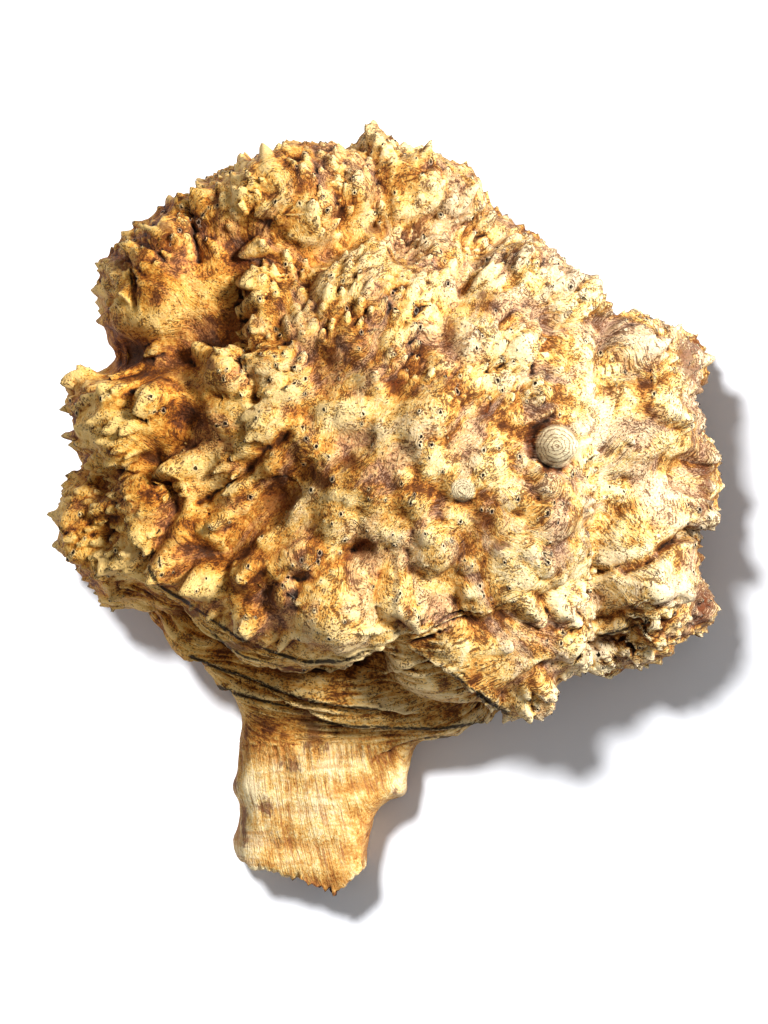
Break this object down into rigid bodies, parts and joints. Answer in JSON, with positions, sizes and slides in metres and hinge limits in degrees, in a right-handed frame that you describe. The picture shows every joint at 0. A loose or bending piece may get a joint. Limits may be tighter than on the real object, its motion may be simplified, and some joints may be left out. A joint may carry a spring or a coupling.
{
  "type": "tree burl",
  "caption": "Debarked, weathered tree burl: a knobbly dome of swollen wood with folds and leaning points, a banded collar, the broken stub of its trunk and a flat sawn back to rest on.",
  "frame": {"origin": "on the flat sawn back, under the middle of the burl", "axes": "+Z out of the dome, away from the sawn back; +Y from the trunk's stub across the burl; +X to the right of a viewer who looks down on the dome with the stub towards them"},
  "size_m": [0.4053, 0.4667, 0.1884],
  "materials": {
    "burl_wood": "debarked, weathered, matt"
  },
  "bodies": {
    "root": {"burl": "burl_wood"}
  },
  "joints": []
}
